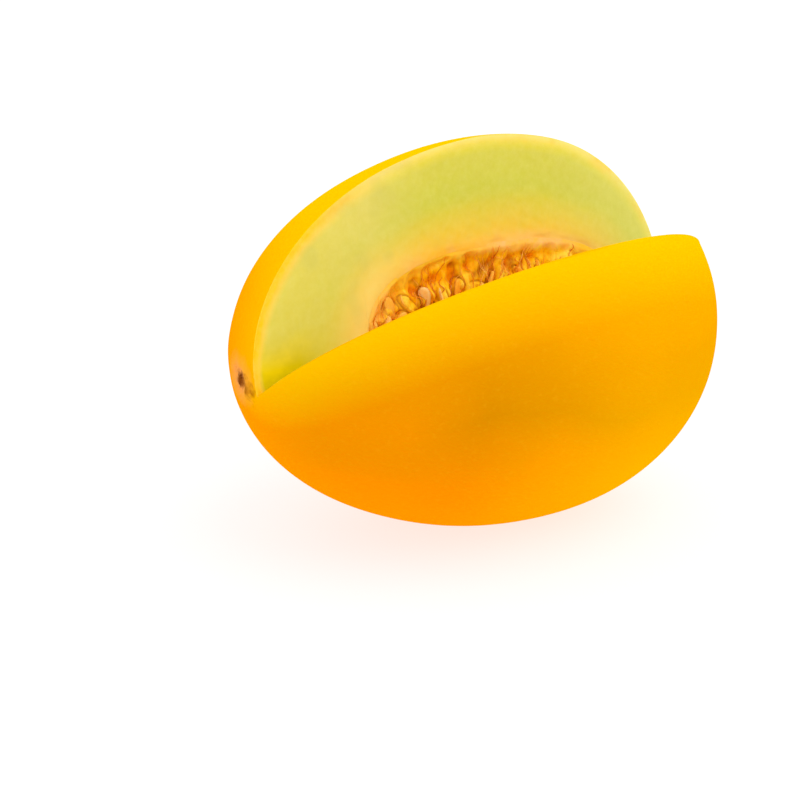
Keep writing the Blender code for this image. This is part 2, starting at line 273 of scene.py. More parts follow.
    # numbers that the finishes read
    slope = np.gradient(radius, x, edge_order=2)
    under_skin = np.clip(depth, 0, None) / np.sqrt(1 + np.clip(slope, -6, 6)[:, None] ** 2)
    middle = np.stack(
        np.broadcast_arrays((x - CAVITY_MIDDLE)[:, None], loop[..., 0], loop[..., 1]), axis=-1
    )
    scaled = (
        np.abs(middle[..., 0] / CAVITY_HALF_LENGTH) ** CAVITY_BLUNTNESS
        + (np.hypot(middle[..., 1], middle[..., 2]) / CAVITY_RADIUS) ** CAVITY_BLUNTNESS
    ) ** (1 / CAVITY_BLUNTNESS)
    from_cavity = np.linalg.norm(middle, axis=-1) * (1 - 1 / np.clip(scaled, 1, None))
    edge_gap = np.minimum(turn - start[:, None], (start + span)[:, None] - turn) * radius[:, None]
    from_edge = np.zeros(loop.shape[:2])
    past_cut = np.hypot(*(low - closest).T)[:, None] + 0.004
    from_edge[:, part == 0] = np.where(is_cut[:, None], edge_gap, past_cut)
    from_root = np.hypot(*np.moveaxis(loop - root[:, None], -1, 0))
    return points, part, {
        "under_skin": under_skin,
        "from_cavity": from_cavity,
        "from_edge": from_edge,
        "from_root": from_root,
    }


def grid_quads(rows, columns, closed):
    """The four-sided faces of a grid of points in rows, whose columns may close into a ring."""
    index = np.arange(rows * columns).reshape(rows, columns)
    beside = np.roll(index, -1, axis=1)
    last = columns if closed else columns - 1
    corners = (index[:-1, :last], beside[:-1, :last], beside[1:, :last], index[1:, :last])
    return np.stack(corners, axis=-1).reshape(-1, 4)


def make_piece(name, points, quads, finishes, finish_of=None, values=None, crease=40):
    """A mesh object from an array of points and one of four-sided faces. Points that coincide become one,
    which closes poles and seams: a face left with three corners becomes a triangle, and one with fewer
    goes. The faces are turned outwards if the signed volume they enclose is negative."""
    flat = points.reshape(-1, 3)
    _, first, place = np.unique(np.round(flat, 7) + 0.0, axis=0, return_index=True, return_inverse=True)
    quads = place.reshape(-1)[quads]
    finish_of = np.zeros(len(quads), int) if finish_of is None else finish_of
    same = quads == np.roll(quads, -1, axis=1)
    crossed = (quads[:, 0] == quads[:, 2]) | (quads[:, 1] == quads[:, 3])
    whole = ~same.any(axis=1) & ~crossed
    three = (same.sum(axis=1) == 1) & ~crossed
    kept = (np.argmax(same[three], axis=1)[:, None] + np.arange(1, 4)) % 4
    triangles = np.take_along_axis(quads[three], kept, axis=1)
    quads = quads[whole]
    corners = flat[first]
    a, b, c, d = (corners[quads[:, k]] for k in range(4))
    volume = np.einsum("ij,ij->", a, np.cross(b, c) + np.cross(c, d))
    if volume < 0:
        quads, triangles = quads[:, ::-1], triangles[:, ::-1]
    mesh = bpy.data.meshes.new(name)
    mesh.from_pydata(corners.tolist(), [], quads.tolist() + triangles.tolist())
    for finish in finishes:
        mesh.materials.append(finish)
    order = np.concatenate((finish_of[whole], finish_of[three])).astype(np.int32)
    mesh.polygons.foreach_set("material_index", order)
    for label, numbers in (values or {}).items():
        column = mesh.attributes.new(label, "FLOAT", "POINT")
        column.data.foreach_set("value", numbers.reshape(-1)[first].astype(np.float32))
    mesh.shade_smooth()
    mesh.set_sharp_from_angle(angle=math.radians(crease))
    piece = bpy.data.objects.new(name, mesh)
    bpy.context.scene.collection.objects.link(piece)
    return piece


def shade(code):
    """The linear colour of a paint code, two hex digits each for red, green and blue."""
    parts = [int(code[i : i + 2], 16) / 255 for i in (0, 2, 4)]
    return tuple(p / 12.92 if p <= 0.04045 else ((p + 0.055) / 1.055) ** 2.4 for p in parts) + (1.0,)


class Finish:
    """A material whose nodes are added one line at a time. A socket is given a value, or another node's
    output to be joined to."""

    def __init__(self, name):
        self.made = bpy.data.materials.new(name)
        self.made.use_nodes = True
        self.tree = self.made.node_tree
        self.shader = self.tree.nodes["Principled BSDF"]

    def give(self, node, sockets):
        for key, value in sockets.items():
            if isinstance(value, bpy.types.NodeSocket):
                self.tree.links.new(value, node.inputs[key])
            else:
                node.inputs[key].default_value = value

    def add(self, kind, sockets=None, output=0, **settings):
        node = self.tree.nodes.new("ShaderNode" + kind)
        for key, value in settings.items():
            setattr(node, key, value)
        self.give(node, sockets or {})
        return node.outputs[output]

    def surface(self, **sockets):
        self.give(self.shader, {key.replace("_", " "): value for key, value in sockets.items()})

    def place(self):
        return self.add("TexCoord", output="Object")

    def distance(self, centre):
        return self.add("VectorMath", {0: self.place(), 1: centre}, "Value", operation="DISTANCE")

    def number(self, label):
        return self.add("Attribute", output="Fac", attribute_name=label)

    def noise(self, scale, detail=3.0, roughness=0.55, stretch=None):
        at = self.place()
        if stretch:
            at = self.add("Mapping", {"Vector": at, "Scale": stretch})
        return self.add("TexNoise", {"Vector": at, "Scale": scale, "Detail": detail, "Roughness": roughness})

    def span(self, value, low, high, to_low=0.0, to_high=1.0):
        return self.add(
            "MapRange",
            {"Value": value, "From Min": low, "From Max": high, "To Min": to_low, "To Max": to_high},
        )

    def maths(self, operation, a, b=0.0):
        return self.add("Math", {0: a, 1: b}, operation=operation)

    def ramp(self, factor, *stops):
        node = self.tree.nodes.new("ShaderNodeValToRGB")
        self.tree.links.new(factor, node.inputs["Fac"])
        steps = node.color_ramp.elements
        while len(steps) < len(stops):
            steps.new(0.5)
        for step, (at, colour) in zip(steps, stops):
            step.position = at
            step.color = shade(colour)
        return node.outputs["Color"]

    def mix(self, factor, a, b):
        node = self.tree.nodes.new("ShaderNodeMix")
        node.data_type = "RGBA"
        self.give(node, {0: factor, 6: a, 7: b})
        return node.outputs[2]

    def bump(self, *layers):
        normal = None
        for height, strength, distance in layers:
            sockets = {"Height": height, "Strength": strength, "Distance": distance}
            if normal:
                sockets["Normal"] = normal
            normal = self.add("Bump", sockets)
        return normal


def rind_finish():
    """Smooth waxy skin, yellower towards the blossom end, faintly mottled, with a corky stem scar. Its
    colour also carries painted light and shade: yellow and lighter above where the light falls, a painted
    shaded band round the middle, brighter orange below as painted bounce light from the floor, painted
    light on the back side and a painted highlight along the cut edges."""
    f = Finish("rind")
    x, y, z = (f.add("SeparateXYZ", {0: f.place()}, output=k) for k in range(3))
    mottle = f.noise(11.0, 2.0)
    height = f.maths("ADD", f.span(z, 0.0, 0.158), f.span(mottle, 0.3, 0.7, -0.08, 0.08))
    # painted light and shade by height: lighter and yellower at the top where the light falls, a darker
    # painted shaded band round the middle, and brighter orange at the bottom as painted bounce light from the
    # floor
    colour = f.ramp(
        height, (0.0, "FF9A00"), (0.20, "F88E00"), (0.41, "D08400"), (0.66, "E69600"), (1.0, "F4B000")
    )
    # lightens the painted shaded middle band towards the stem end
    pale = f.maths("MULTIPLY", f.span(height, 0.26, 0.40), f.span(height, 0.56, 0.42))
    pale = f.maths("MULTIPLY", pale, f.span(x, -0.045, -0.070, 0.0, 0.45))
    colour = f.mix(pale, colour, shade("FF9400"))
    colour = f.mix(f.span(x, -0.045, 0.030, 0.0, 0.30), colour, shade("FFBA00"))
    # painted light on the back side of the skin, which the lamps leave in shade: brighter and yellower with
    # height
    far = f.span(z, 0.0, 0.158)
    far = f.ramp(
        far, (0.0, "FF9800"), (0.50, "FF9A00"), (0.68, "FFA200"), (0.86, "FFC000"), (1.0, "F8C400")
    )
    colour = f.mix(f.span(y, -0.03, 0.02), colour, far)
    low_right = f.maths("MULTIPLY", f.span(x, -0.050, 0.040, 0.0, 0.55), f.span(z, 0.080, 0.030))
    colour = f.mix(low_right, colour, shade("FFBC00"))
    # painted highlight: a brighter yellow band along the cut edges of the skin, stronger on the front side
    edge = f.span(f.number("from_edge"), 0.0, 0.028, 1.0, 0.0)
    edge = f.maths("MULTIPLY", edge, f.span(y, -0.03, 0.02, 0.80, 0.35))
    colour = f.mix(edge, colour, shade("F4C000"))
    flecks = f.noise(520.0, 2.0, 0.6)
    colour = f.mix(f.span(flecks, 0.55, 0.75, 0.0, 0.07), colour, shade("FFC828"))
    pores = f.noise(900.0, 1.0, 0.5)
    colour = f.mix(f.span(pores, 0.64, 0.74, 0.0, 0.08), colour, shade("D07E00"))

    from_stem = f.distance(stem_scar_centre())
    ragged = f.maths("ADD", from_stem, f.span(f.noise(240.0, 3.0), 0.3, 0.7, -0.0012, 0.0012))
    colour = f.mix(f.span(ragged, 0.005, 0.012, 0.75, 0.0), colour, shade("FBA444"))
    colour = f.mix(f.span(ragged, 0.0034, 0.0062, 0.75, 0.0), colour, shade("EA9A54"))
    fibres = f.noise(700.0, 3.0, 0.7)
    cork = f.mix(f.span(fibres, 0.35, 0.7), shade("542004"), shade("9A5218"))
    colour = f.mix(f.span(ragged, 0.0028, 0.0044, 1.0, 0.0), colour, cork)
    smear_at = tuple(c + d for c, d in zip(stem_scar_centre(), (0.0, -0.0064, -0.0013)))
    smear = f.distance(smear_at)
    smear = f.maths("ADD", smear, f.span(f.noise(260.0, 2.0), 0.3, 0.7, -0.003, 0.003))
    colour = f.mix(f.span(smear, 0.0010, 0.0060, 0.85, 0.0), colour, shade("A05C08"))

    flower_at = (LENGTH / 2, 0.0, AXIS_HEIGHT)
    from_flower = f.distance(flower_at)
    flower = f.maths("ADD", from_flower, f.span(f.noise(420.0, 3.0), 0.3, 0.7, -0.0012, 0.0012))
    colour = f.mix(f.span(flower, 0.004, 0.010, 0.5, 0.0), colour, shade("E9A54A"))
    colour = f.mix(f.span(flower, 0.0022, 0.0042, 1.0, 0.0), colour, shade("94602C"))

    dry = f.span(ragged, 0.004, 0.010, 1.0, 0.0)
    f.surface(
        Base_Color=colour,
        Roughness=f.maths("ADD", f.span(mottle, 0.3, 0.7, 0.38, 0.48), f.maths("MULTIPLY", dry, 0.35)),
        Normal=f.bump(
            (f.noise(95.0, 3.0), 0.20, 0.0006),
            (f.noise(750.0, 2.0), 0.16, 0.00012),
        ),
        Specular_IOR_Level=0.0,
        Subsurface_Weight=0.10,
        Subsurface_Radius=(0.004, 0.0018, 0.0004),
        Subsurface_Scale=1.0,
    )
    return f.made


def stem_scar_centre():
    """Where the stem was, on the skin at the stem end."""
    return (-LENGTH / 2, STEM_SCAR_PLACE[0], AXIS_HEIGHT + STEM_SCAR_PLACE[1])


def flesh_finish():
    """Moist pale green flesh, yellower towards the rind with golden patches at the blossom end, golden
    with peach patches round the seed cavity, and yellowest where it is thin over the cuts' root at the
    stem end."""
    f = Finish("flesh")
    x = f.add("SeparateXYZ", {0: f.place()})
    drift = f.span(f.noise(24.0, 2.0), 0.3, 0.7, -0.0016, 0.0016)
    depth = f.maths("ADD", f.number("under_skin"), f.maths("MULTIPLY", drift, 0.45))
    depth = f.span(depth, 0.0, 0.020)
    crown = f.ramp(
        depth,
        *((0.0, "F4CC5C"), (0.05, "F2D870"), (0.14, "E9D350")),
        *((0.24, "DACC40"), (0.36, "CEC646"), (1.0, "C9C745")),
    )
    shoulder = f.ramp(
        depth,
        *((0.0, "F2B428"), (0.07, "EEBE42"), (0.16, "E0C252")),
        *((0.26, "D4C648"), (0.50, "D0C646"), (1.0, "CCC644")),
    )
    patches = f.noise(55.0, 2.0)
    gilt = f.span(f.noise(85.0, 2.0), 0.50, 0.64, 0.0, 0.75)
    gilt = f.maths("MULTIPLY", gilt, f.span(depth, 0.04, 0.26, 1.0, 0.0))
    gilt = f.maths("MULTIPLY", gilt, f.span(x, 0.020, 0.050))
    crown = f.mix(gilt, crown, shade("F4C22C"))
    outer = f.mix(f.span(x, -0.045, -0.078), crown, shoulder)
    gap = f.maths("ADD", f.number("from_cavity"), drift)
    gap = f.span(gap, 0.0, 0.026)
    inner = f.ramp(
        gap,
        (0.0, "FFBE2C"),
        (0.07, "FDC63C"),
        (0.19, "F1C63C"),
        (0.35, "EAC83E"),
        (0.50, "E1C940"),
        (0.65, "D8C83E"),
        (0.81, "D0C83F"),
        (1.0, "C9C745"),
    )
    peach = f.maths("MULTIPLY", f.span(patches, 0.48, 0.66, 0.0, 0.45), f.span(gap, 0.02, 0.34, 1.0, 0.0))
    inner = f.mix(peach, inner, shade("FCC084"))
    torn = f.maths("MULTIPLY", f.span(x, -0.005, 0.030, 0.0, 0.7), f.span(gap, 0.04, 0.26, 1.0, 0.0))
    inner = f.mix(torn, inner, shade("FFCE80"))
    stem = f.maths("MULTIPLY", f.span(x, -0.030, -0.048, 0.0, 0.45), f.span(gap, 0.20, 0.60, 1.0, 0.0))
    inner = f.mix(stem, inner, shade("FFDE7C"))
    near = f.span(gap, 0.70, 1.0, 1.0, 0.0)
    colour = f.mix(near, outer, inner)
    colour = f.mix(f.span(x, -0.020, -0.050, 0.0, 0.30), colour, shade("F0D888"))
    colour = f.mix(f.span(x, -0.050, -0.085, 0.0, 0.35), colour, shade("D6CA38"))
    colour = f.mix(f.span(x, 0.040, 0.085, 0.0, 0.40), colour, shade("D2D472"))
    golden = f.ramp(depth, (0.0, "FFBE00"), (0.10, "FFC414"), (0.24, "F8CC48"))
    near_tip = f.maths("MULTIPLY", f.span(x, -0.040, -0.076), f.span(depth, 0.10, 0.34, 1.0, 0.0))
    colour = f.mix(near_tip, colour, golden)
    grain = f.noise(330.0, 4.0, 0.65)
    colour = f.mix(f.span(grain, 0.35, 0.75, 0.0, 0.14), colour, shade("EEE896"))
    dull = f.span(f.noise(62.0, 1.0), 0.56, 0.68, 0.0, 0.28)
    colour = f.mix(f.maths("MULTIPLY", dull, f.span(x, 0.0, -0.04)), colour, shade("C6C060"))
    veins = f.noise(70.0, 3.0, 0.6)
    colour = f.mix(f.span(veins, 0.52, 0.75, 0.0, 0.14), colour, shade("C2C636"))
    thin = f.span(f.number("from_root"), 0.008, 0.022, 1.0, 0.0)
    thin = f.maths("MULTIPLY", f.span(x, -0.068, -0.086), thin)
    thin = f.maths("MULTIPLY", thin, f.span(depth, 0.12, 0.28))
    colour = f.mix(thin, colour, f.mix(f.span(veins, 0.42, 0.58), shade("E8CE00"), shade("D8C200")))
    f.surface(
        Base_Color=colour,
        Roughness=f.span(grain, 0.3, 0.7, 0.34, 0.48),
        Normal=f.bump((f.noise(60.0, 3.0), 0.25, 0.0007), (grain, 0.22, 0.0002)),
        Specular_IOR_Level=0.15,
        Subsurface_Weight=0.12,
        Subsurface_Radius=(0.005, 0.0045, 0.0015),
        Subsurface_Scale=1.0,
    )
    return f.made


points, part_of, numbers = body_surface()
rows, columns = points.shape[:2]
melon = make_piece(
    "melon_rind_and_flesh",
    points,
    grid_quads(rows, columns, True),
    [rind_finish(), flesh_finish()],
    finish_of=np.tile((part_of > 0).astype(int), rows - 1),
    values=numbers,
)
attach(melon, "root")
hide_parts("melon_body")

# --------------------------------------------------------------------------------------------------
# Pulp: the soft stringy placenta in the opened cavity. The same two strokes tore through it and its
# wet surface has sunk a few millimetres below the cut flesh, in lobes that hold the seeds.
# --------------------------------------------------------------------------------------------------
PULP_GRIP = 0.0012  # how far the pulp grows into the flesh round it
WALL_ROOM = 0.0009
PULP_DROP = 0.0040
VALLEY_RADIUS = 0.0060
LOBE_SIZE = (0.0062, 0.0048, 0.0034)
SEED_LENGTH = 0.0120
SEED_WIDTH = 0.0056
SEED_THICKNESS = 0.0024
SEED_SPACING = 0.0083
ROW_SPACING = 0.0074
SEED_ROWS = 3  # up each slope, besides the one along the valley
LOBE_ROWS = 2
SEED_TURN = 0.6  # spread, in radians, of the seeds' turns from straight up or down the slope
SEED_TIPPING = (6, 26)  # how far they tip up out of the slope, in degrees
SEED_ROLL = 42  # spread, in degrees, of their rolls about their own length
SEED_LIFT = (-0.0003, 0.0006)
LOBE_SPREAD = (0.8, 1.15)  # of LOBE_SIZE
SEED_DRAW = 38890
BED_TRIES = 8  # places down its slope where a seed may find room
BED_STEP = 0.1 * SEED_LENGTH
LOBE_WIDENING = 1.15  # the finished lobes are wider and lower than the solid's
LOBE_LOWERING = 0.55
PULP_RIPPLES = ((0.00060, 0.008, 50), (0.00024, 0.0034, 51))  # (height, length, draw)
FIBRE_HEIGHT = 0.00014
TORN_REACH = 0.0036  # how far from the wall the torn lip starts to climb
TORN_MORE_AT_BLOSSOM = 0.0040
TORN_MORE_AT_STEM = 0.0036
TORN_RAGGEDNESS = 0.0012
LIP_BELOW_FLESH = 0.0002  # how far below the cut flesh it ends
LIP_SAG = 0.0007  # how much lower it ends at most, between the cavity's ends
BLOSSOM_FILL = 0.0016
WEDGE_LEAN = (BACK_LEAN + FRONT_LEAN) / 2
HALF_WEDGE = (BACK_LEAN - FRONT_LEAN) / 2
QUARTER = math.pi / 2 - HALF_WEDGE
POCKET_DEPTH = 0.0008  # of the moat in the pulp round each seed
POCKET_WIDTH = 0.0006
PULP_STATIONS = 330
PULP_TOP_POINTS = 200
PULP_WALL_POINTS = 26


def pulp_surface(x, s):
    """The sunken surface at x, s metres round it from the valley's bottom, up the back slope where s is
    positive: an arc of VALLEY_RADIUS, then straight. Returns (y, z) from the axis, the direction along
    it and the direction out of it."""
    turn = np.clip(s / VALLEY_RADIUS, -QUARTER, QUARTER)
    out = leaning(WEDGE_LEAN - turn)
    along = leaning(WEDGE_LEAN - turn + math.pi / 2)
    centre = wedge_root(x) + leaning(WEDGE_LEAN) * ((VALLEY_RADIUS - PULP_DROP) / math.sin(HALF_WEDGE))
    return centre - VALLEY_RADIUS * out + (s - turn * VALLEY_RADIUS)[..., None] * along, along, out


def pulp_places(step, row_step, rows):
    """Places by rule over the surface, as (x, s, direction up its slope): rows along the fruit, row_step
    apart up both slopes and staggered by half a step."""
    count = int(2 * CAVITY_HALF_LENGTH / step)
    for row in range(-rows, rows + 1):
        for i in range(count):
            share = (i + (0.75 if row % 2 else 0.25)) / count
            yield CAVITY_MIDDLE + CAVITY_HALF_LENGTH * (2 * share - 1), row * row_step, 1 if row >= 0 else -1


seed_draw = random.Random(SEED_DRAW)
lobes = []
for x, s, up in pulp_places(2 * SEED_SPACING, 1.6 * ROW_SPACING, LOBE_ROWS):
    size = [half * seed_draw.uniform(*LOBE_SPREAD) for half in LOBE_SIZE]
    lobes.append((x, s, *size, seed_draw.uniform(0, math.pi)))


def rotation(axis, angle):
    """A 3 by 3 turn about one axis, 0, 1 or 2."""
    made = np.eye(3)
    a, b = [k for k in range(3) if k != axis]
    sign = -1 if axis == 1 else 1
    made[a, a] = made[b, b] = math.cos(angle)
    made[a, b], made[b, a] = -sign * math.sin(angle), sign * math.sin(angle)
    return made


def coarse_seed():
    """The corners of the solid's own seed, by which it is bedded: two tips and three six-sided rings."""
    corners = [(-SEED_LENGTH / 2, 0.0, 0.0), (SEED_LENGTH / 2, 0.0, 0.0)]
    for along, wide in ((0.22, 0.62), (0.58, 1.0), (0.90, 0.66)):
        for k in range(6):
            turn = math.pi * k / 3
            tall = SEED_THICKNESS / 2 * wide**0.5 * math.sin(turn) / math.sin(math.pi / 3)
            corners.append((SEED_LENGTH * (along - 0.5), SEED_WIDTH / 2 * wide * math.cos(turn), tall))
    return np.array(corners)


def have_room(points):
    """Which points are inside the cavity, or in the open wedge, and clear of the flesh."""
    offset = points[:, 1:] - wedge_root(points[:, 0]) - (0.0, AXIS_HEIGHT)
    lean = np.mod(np.arctan2(*offset.T) - WEDGE_LEAN + math.pi, 2 * math.pi) - math.pi
    cuts = (leaning(FRONT_LEAN), leaning(BACK_LEAN))
    across = np.min([np.abs(offset[:, 0] * c[1] - offset[:, 1] * c[0]) for c in cuts], axis=0)
    in_wedge = (np.abs(lean) < HALF_WEDGE) & (across > WALL_ROOM)
    depth = np.hypot(points[:, 1], points[:, 2] - AXIS_HEIGHT)
    return in_wedge | (depth < cavity_radius(points[:, 0]) - WALL_ROOM)


def seed_frames():
    """Each seed's x and s, its place and its turn, from the same rule and draws as the solid's, drawn back
    down its slope until it has room."""
    corners = coarse_seed()
    frames = []
    for x, s, up in pulp_places(SEED_SPACING, ROW_SPACING, SEED_ROWS):
        turn = seed_draw.gauss(0.0, SEED_TURN) + (math.pi if seed_draw.random() < 0.5 else 0.0)
        pitch = math.radians(seed_draw.uniform(*SEED_TIPPING))
        roll = math.radians(seed_draw.gauss(0, SEED_ROLL))
        lift = seed_draw.uniform(*SEED_LIFT)
        place, along, out = pulp_surface(np.array(x), np.array(s))
        along = np.array((0.0, *(up * along)))
        out = np.array((0.0, *out))
        place = np.array((x, place[0], place[1] + AXIS_HEIGHT)) + lift * out
        base = np.stack((along, np.cross(out, along), out), axis=1)
        turned = base @ rotation(2, turn) @ rotation(1, -pitch) @ rotation(0, roll)
        for _ in range(BED_TRIES):
            if have_room(corners @ turned.T + place).all():
                frames.append((x, s, place, turned))
                break
            place = place - BED_STEP * along
            s -= up * BED_STEP
    return frames


seed_places = seed_frames()


def pockets(x, s):
    """How much each point lies in a moat round some seed, 0 to 1: a bell curve of its distance from the
    ellipse that the seed's three half axes throw on the surface, less where the seed dives into it."""
    deepest = np.zeros(np.broadcast(x, s).shape)
    half = (SEED_LENGTH / 2, SEED_WIDTH / 2, SEED_THICKNESS / 2)
    for at, across, _, turned in seed_places:
        _, along, out = pulp_surface(np.array(at), np.array(across))
        axes = np.stack((turned[0], along @ turned[1:])) * half
        spread = np.linalg.inv(axes @ axes.T)
        a, b = x - at, s - across
        share = np.sqrt(spread[0, 0] * a * a + 2 * spread[0, 1] * a * b + spread[1, 1] * b * b)
        gap = np.hypot(a, b) * (1 - 1 / np.clip(share, 0.05, None))
        length_share = (a * axes[0, 0] + b * axes[1, 0]) / (axes[:, 0] ** 2).sum()
        proud = smoothstep(length_share * (out @ turned[1:, 0]) * half[0], -0.0018, 0.0)
        deepest = np.maximum(deepest, proud * np.exp(-(((gap - 0.6 * POCKET_WIDTH) / POCKET_WIDTH) ** 2)))
    return deepest


def wall_gap(x, s):
    """How far each point is from the cavity's wall: its way up or down the slope, or the least straight
    way over the unrolled surface to points along the wall's two edges where that is shorter."""
    ends = CAVITY_MIDDLE + 0.98 * CAVITY_HALF_LENGTH * np.sin(np.linspace(-0.5, 0.5, 180) * math.pi)
    end_back, end_front = pulp_limits(x)
    gap = np.minimum(end_back - s, s + end_front) - PULP_GRIP
    for at, back, front in zip(ends, *pulp_limits(ends)):
        gap = np.minimum(gap, np.hypot(x - at, s - back + PULP_GRIP))
        gap = np.minimum(gap, np.hypot(x - at, s + front - PULP_GRIP))
    return gap


def pulp_height(x, s, from_wall, pocket=0.0):
    """How far the surface stands out of the smooth one: lobes, each a half ellipsoid, over ripples of two
    sizes and fine strings that run up the slopes, less the seeds' pockets. They fade where a torn lip
    climbs to the cut flesh, from further down at both ends, over a little fill at the blossom end."""
    lobe = 0
    for at, across, long, wide, tall, turn in lobes:
        a = (x - at) * math.cos(turn) + (s - across) * math.sin(turn)
        b = -(x - at) * math.sin(turn) + (s - across) * math.cos(turn)
        a, b = a / (LOBE_WIDENING * long), b / (LOBE_WIDENING * wide)
        dome = np.clip(1 - a**2 - b**2, 0, 1) ** 0.75
        lobe = np.maximum(lobe, LOBE_LOWERING * tall * dome)
    height = lobe
    for tall, size, draw in PULP_RIPPLES:
        height = height + tall * ripple(x, s, size, draw)
    strings = ripple(x, s * 0.22, 0.0016, 52) * (0.6 + 0.4 * ripple(x, s, 0.012, 53))
    height = height + FIBRE_HEIGHT * strings - POCKET_DEPTH * pocket
    blossom = smoothstep(x, -0.030, 0.030)
    stem = smoothstep(-x, 0.030, 0.046)
    torn = TORN_REACH + TORN_MORE_AT_BLOSSOM * blossom + TORN_MORE_AT_STEM * stem
    torn = torn + TORN_RAGGEDNESS * ripple(x, 0 * x, 0.011, 54)
    drop = PULP_DROP - LIP_BELOW_FLESH - LIP_SAG * (1 - blossom) * (1 - stem)
    lip = drop * (1 - smoothstep(from_wall, 0.0004, torn)) ** 1.2
    fill = BLOSSOM_FILL * smoothstep(x, 0.030, 0.050)
    return height * smoothstep(from_wall, -0.0002, 0.0008 + 0.75 * torn) + np.maximum(lip, fill)


def pulp_limits(x):
    """How far the surface reaches up the back and the front slope before it meets the cavity's wall."""
    radius = cavity_radius(x, -PULP_GRIP)
    limits = []
    for sign in (1, -1):
        start = np.full_like(x, sign * QUARTER * VALLEY_RADIUS)
        place, along, _ = pulp_surface(x, start)
        limits.append(QUARTER * VALLEY_RADIUS + ray_exit(place, sign * along, radius))
    return limits


def pulp_point(x, s, lift=0.0):
    """Points on the finished pulp at x and s, and how high each stands."""
    place, _, out = pulp_surface(x, s)
    height = pulp_height(x, s, wall_gap(x, s))
    place = place + (height + lift)[..., None] * out
    return np.stack((x, place[..., 0], place[..., 1] + AXIS_HEIGHT), axis=-1), height


def pulp_finish():
    """Wet bright orange pulp, paler at the stem end, and golden with peach fibres where it is torn thin
    over the flesh. Painted shade makes it darker and red-brown in its hollows and round the seeds."""
    f = Finish("pulp")
    lift = f.number("lift")
    patches = f.noise(130.0, 4.0, 0.6)
    # painted shade: the lower the surface lies, the darker and redder the pulp
    tone = f.maths("ADD", f.span(lift, -0.0018, 0.0030), f.span(patches, 0.3, 0.7, -0.16, 0.16))
    colour = f.ramp(
        tone, (0.0, "F28A00"), (0.18, "FFA400"), (0.38, "FFB804"), (0.70, "FFC81C"), (1.0, "FFD648")
    )
    strings = f.noise(420.0, 3.0, 0.6, stretch=(1.0, 0.25, 0.25))
    colour = f.mix(f.span(strings, 0.52, 0.72, 0.0, 0.25), colour, shade("FFC43C"))
    # painted shade: dark red-brown patches where the pulp lies low
    hollow_shade = f.span(f.noise(105.0, 2.0), 0.55, 0.67)
    hollow_shade = f.maths("MULTIPLY", hollow_shade, f.span(lift, 0.0016, 0.0, 0.0, 0.70))
    colour = f.mix(hollow_shade, colour, shade("943A06"))
    # painted shade in the moats round the seeds
    colour = f.mix(f.span(f.number("pocket"), 0.30, 1.0, 0.0, 0.62), colour, shade("9C4A06"))
    x = f.add("SeparateXYZ", {0: f.place()})
    colour = f.mix(f.span(x, -0.030, -0.052, 0.0, 0.55), colour, shade("FFBE4C"))
    wall = f.maths("ADD", f.number("from_wall"), f.span(patches, 0.3, 0.7, -0.0020, 0.0020))
    right = f.maths("MINIMUM", f.span(x, -0.010, 0.020), f.span(x, 0.060, 0.042))
    peach = f.maths("MAXIMUM", right, f.span(x, -0.038, -0.050))
    peach = f.maths("MULTIPLY", peach, f.span(patches, 0.40, 0.62, 0.35, 1.0))
    lip = f.mix(peach, shade("FFC834"), shade("FFC880"))
    reach = f.span(x, -0.045, -0.020, 0.0090, 0.0034)
    lip_share = f.maths("SUBTRACT", 1.0, f.maths("DIVIDE", wall, reach))
    colour = f.mix(f.span(lip_share, 0.0, 0.5), colour, lip)
    f.surface(
        Base_Color=colour,
        Roughness=f.span(patches, 0.3, 0.7, 0.28, 0.46),
        Normal=f.bump((f.noise(260.0, 4.0, 0.6), 0.35, 0.0005), (strings, 0.3, 0.0003)),
        Specular_IOR_Level=0.06,
        Subsurface_Weight=0.15,
        Subsurface_Radius=(0.004, 0.0016, 0.0004),
        Subsurface_Scale=1.0,
    )
    return f.made


